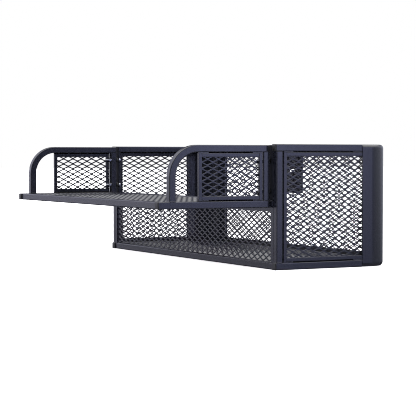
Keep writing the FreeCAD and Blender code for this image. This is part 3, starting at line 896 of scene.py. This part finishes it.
def weldLoop(centre, normal, size, values):
    # a bead round the foot of a square tube: a small circle carried round a rounded square, rippled along it
    axis = int(np.argmax(np.abs(normal)))
    side, up = np.eye(3)[(axis + 1) % 3], np.eye(3)[(axis + 2) % 3]
    line, outward, _ = roundedSection(size, size, tubing["corner"], values["cornerSteps"])
    far = np.linalg.norm(np.roll(line, -1, axis=0) - line, axis=1)
    counts = np.maximum((far / (values["ripplePitch"] / values["stepsPerRipple"])).astype(int), 1)
    spots = np.concatenate([i + np.arange(n) / n for i, n in enumerate(counts)])
    whole, part = spots.astype(int), (spots % 1)[:, None]
    following = (whole + 1) % len(line)
    line, outward = (a[whole] * (1 - part) + a[following] * part for a in (line, outward))
    walked = np.concatenate([[0], np.cumsum(np.linalg.norm(np.diff(line, axis=0), axis=1))])
    radius = values["radius"] * (1 + values["ripple"] * np.sin(walked * 2 * math.pi / values["ripplePitch"]))
    turn = np.linspace(0, 2 * math.pi, values["around"], endpoint=False)
    core = line - outward * values["sunk"]
    flatOut = outward[:, 0, None] * side + outward[:, 1, None] * up
    places = centre + core[:, 0, None] * side + core[:, 1, None] * up
    ringOut = np.cos(turn)[None, :, None] * flatOut[:, None] + np.sin(turn)[None, :, None] * normal
    points = (places[:, None] + radius[:, None, None] * ringOut).reshape(-1, 3)
    quads = np.concatenate([ringQuads(len(line), len(turn)), seamQuads(len(turn), len(points))])
    if np.dot(np.cross(side, up), normal) > 0:
        quads = quads[:, ::-1]
    return shape(points, quads)


def makeWelds(values):
    size = tubing["size"]
    beads = []
    for end in bothEnds:
        postLow, postHigh = nodeBox("front_post_" + end)
        uprightLow, uprightHigh = nodeBox("rail_upright_" + end)
        railLow, railHigh = nodeBox("rail_tube_" + end)
        middle = (postLow + postHigh) / 2
        feet = [[middle[0], middle[1], z] for z in (postLow[2], postHigh[2])]
        middle = (uprightLow + uprightHigh) / 2
        feet.append([middle[0], middle[1], uprightLow[2]])
        feet.append([(railLow[0] + railHigh[0]) / 2, railLow[1] + size / 2, railLow[2]])
        beads += [weldLoop(np.array(foot), zAxis, size, values) for foot in feet]
    for node in ("deck_front_tube", "deck_rear_tube", "basket_front_bottom_tube", "basket_front_upper_tube"):
        low, high = nodeBox(node)
        middle = (low + high) / 2
        beads += [weldLoop(np.array([x, middle[1], middle[2]]), xAxis, size - values["inset"], values)
                  for x in (low[0], high[0])]
    beads = joined(beads)
    beads["points"] = np.clip(beads["points"], *np.array(cadBounds))    # none stands out of the whole rack
    putPiece("weldBeads", beads, "black_powder_coat", [], values["crease"])
    print("weld beads made")


def dressPlates():
    # flat plates and bars keep their own shape and take a finish
    coated = ["deck_strap_left", "deck_strap_right", "floor_bars", "centre_plate", "front_edge_strip"]
    shaded = ["bolt_plate_left", "bolt_plate_right"]
    # the bolt plates take the shaded copy of the coat, as painted shade
    for names, finish in ((coated, "black_powder_coat"), (shaded, "shadedCoat")):
        for name in names:
            node = shownNodes[name]
            node.data.materials.clear()
            node.data.materials.append(finishes[finish])
    print("plates dressed")


makeStraightTubes()
makeRails(railBend)
makeCovers(cornerBend)
makeJoiners(joinerTube)
makePanels(panelBars)
makeSheets()
makeFasteners(fastener)
makePlugs(plug)
makeWelds(welds)
dressPlates()


# ---- stage, light and camera ----

studio = {
    "floorSize": 60.0,
    "floorShade": (0.90, 0.90, 0.90, 1),
    "floorRoughness": 0.75,
    "floorGlow": 0.45,
    "driftSize": 3.0,
    "driftShade": 0.97,                     # the darkest that the floor drifts to, as a share
    "paperSize": 900.0,
    "paperDepth": 0.1 * mm,
    "leftShade": (0.98, 0.98, 1.20, 1),     # seen by the deck end's faces, far from the camera
    "nearShade": (1.65, 1.63, 1.95, 1),     # seen by them near the camera
    "rightShade": (3.15, 3.35, 5.50, 1),    # seen by the right end's faces
    "farShade": (0.05, 0.055, 0.095, 1),    # seen by the inner faces of the far end
    "backShade": (0.115, 0.115, 0.15, 1),   # seen at a glance over the deck and the floor
    "rearShade": (0.75, 0.78, 0.92, 1),     # seen by the edge of the near corner cover
    "frontShade": (0.02, 0.02, 0.03, 1),    # behind the camera
    "skyShade": (3.0, 3.0, 3.0, 1),
    "underShade": (0.03, 0.03, 0.04, 1),
    "lean": 0.45,                           # how far the right side's light is turned from the rack's length
    "toCamera": (0.87, 0.5),
    # where each shade begins along its own direction, and how steeply it comes in
    "rightFade": (-0.03, 8.0),
    "coverFade": (0.08, 6.0),
    "coverShare": 0.90,                     # how much of the right side's light is gone past that fade
    "nearFade": (-0.33, -5.0),
    "backFade": (-0.15, 2.5),
    "sideFade": (-0.25, 2.0),
    "rearFade": (0.6, 4.0),
    "frontFade": (0.55, 3.2),
    "skyFade": (0.42, 3.0),
    "underFade": (0.02, -8.0),
}


def makeStage(values):
    half = values["floorSize"] / 2
    mesh = bpy.data.meshes.new("paleFloor")
    corners = [(-half, -half, 0), (half, -half, 0), (half, half, 0), (-half, half, 0)]
    mesh.from_pydata(corners, [], [(0, 1, 2, 3)])
    floor = bpy.data.objects.new("paleFloor", mesh)
    bpy.context.scene.collection.objects.link(floor)
    book = ShaderBook(bpy.data.materials.new("paleFloor"))
    at = book.place()
    drift = book.noise(at, values["driftSize"])
    paper = book.noise(at, values["paperSize"])
    shade = tuple(c * values["driftShade"] for c in values["floorShade"][:3]) + (1,)
    sockets = {
        "Base Color": book.blend(drift, values["floorShade"], shade),
        "Roughness": drift * 0.1 + values["floorRoughness"],
        "Normal": book.bump(paper, 0.1, values["paperDepth"]),
        "Emission Color": (1, 1, 1, 1),
        "Emission Strength": values["floorGlow"],
    }
    mesh.materials.append(book.finish(sockets))
    floor.visible_glossy = False     # the coat mirrors the air, not the floor


def fade(value, limits, high=1.0):
    # 0 up to the start, then rising by the slope, to high at most; a negative slope rises downward
    start, slope = limits
    return ((value - start) * slope).clamp(0.0, high)


def makeAir(values):
    # white to the camera; round about, a pale left side, a bluer right side, dark behind the camera,
    # a bright sky, and dark under the horizon
    world = bpy.data.worlds.new("studioAir")
    bpy.context.scene.world = world
    book = ShaderBook(world)
    split = {"Vector": book.node("ShaderNodeTexCoord", output="Generated")}
    x, y, z = (book.node("ShaderNodeSeparateXYZ", None, split, output=i) for i in range(3))
    turned = y - x * values["lean"]
    gone = fade(turned, values["coverFade"], values["coverShare"])
    right = fade(turned, values["rightFade"]) * (1.0 - gone)
    beam = book.blend(right, values["farShade"], values["rightShade"])
    left = book.blend(fade(y, values["nearFade"]), values["leftShade"], values["nearShade"])
    left = book.blend(fade(y, values["backFade"]), left, values["backShade"])
    around = book.blend(fade(x, values["sideFade"]), left, beam)
    around = book.blend(fade(y, values["rearFade"]), around, values["rearShade"])
    facing = x * values["toCamera"][0] - y * values["toCamera"][1]
    around = book.blend(fade(facing, values["frontFade"]), around, values["frontShade"])
    around = book.blend(fade(z, values["skyFade"]), around, values["skyShade"])
    around = book.blend(fade(z, values["underFade"]), around, values["underShade"])
    seen = book.node("ShaderNodeLightPath", output="Is Camera Ray")
    glow = book.node("ShaderNodeBackground", None, {"Color": book.blend(seen, around, (1, 1, 1, 1))})
    book.node("ShaderNodeOutputWorld", None, {"Surface": glow})


viewpoint = {"place": (3.78787, -1.92958, 0.29749), "turn": 62.336, "tilt": 2.033, "lens": 125.44,
             "sensor": 36.0, "reach": 200.0, "filter": 1.0}


def makeCamera(values):
    data = bpy.data.cameras.new("mainView")
    data.lens = values["lens"]
    data.sensor_width = values["sensor"]
    data.clip_end = values["reach"]
    view = bpy.data.objects.new("mainView", data)
    bpy.context.scene.collection.objects.link(view)
    view.location = values["place"]
    view.rotation_euler = (math.radians(90 - values["tilt"]), 0, math.radians(values["turn"]))
    bpy.context.scene.camera = view


makeStage(studio)
makeAir(studio)
makeCamera(viewpoint)
bpy.context.scene.view_settings.view_transform = "Standard"
bpy.context.scene.cycles.filter_width = viewpoint["filter"]      # narrow, for crisp strands
print("stage, light and camera set")
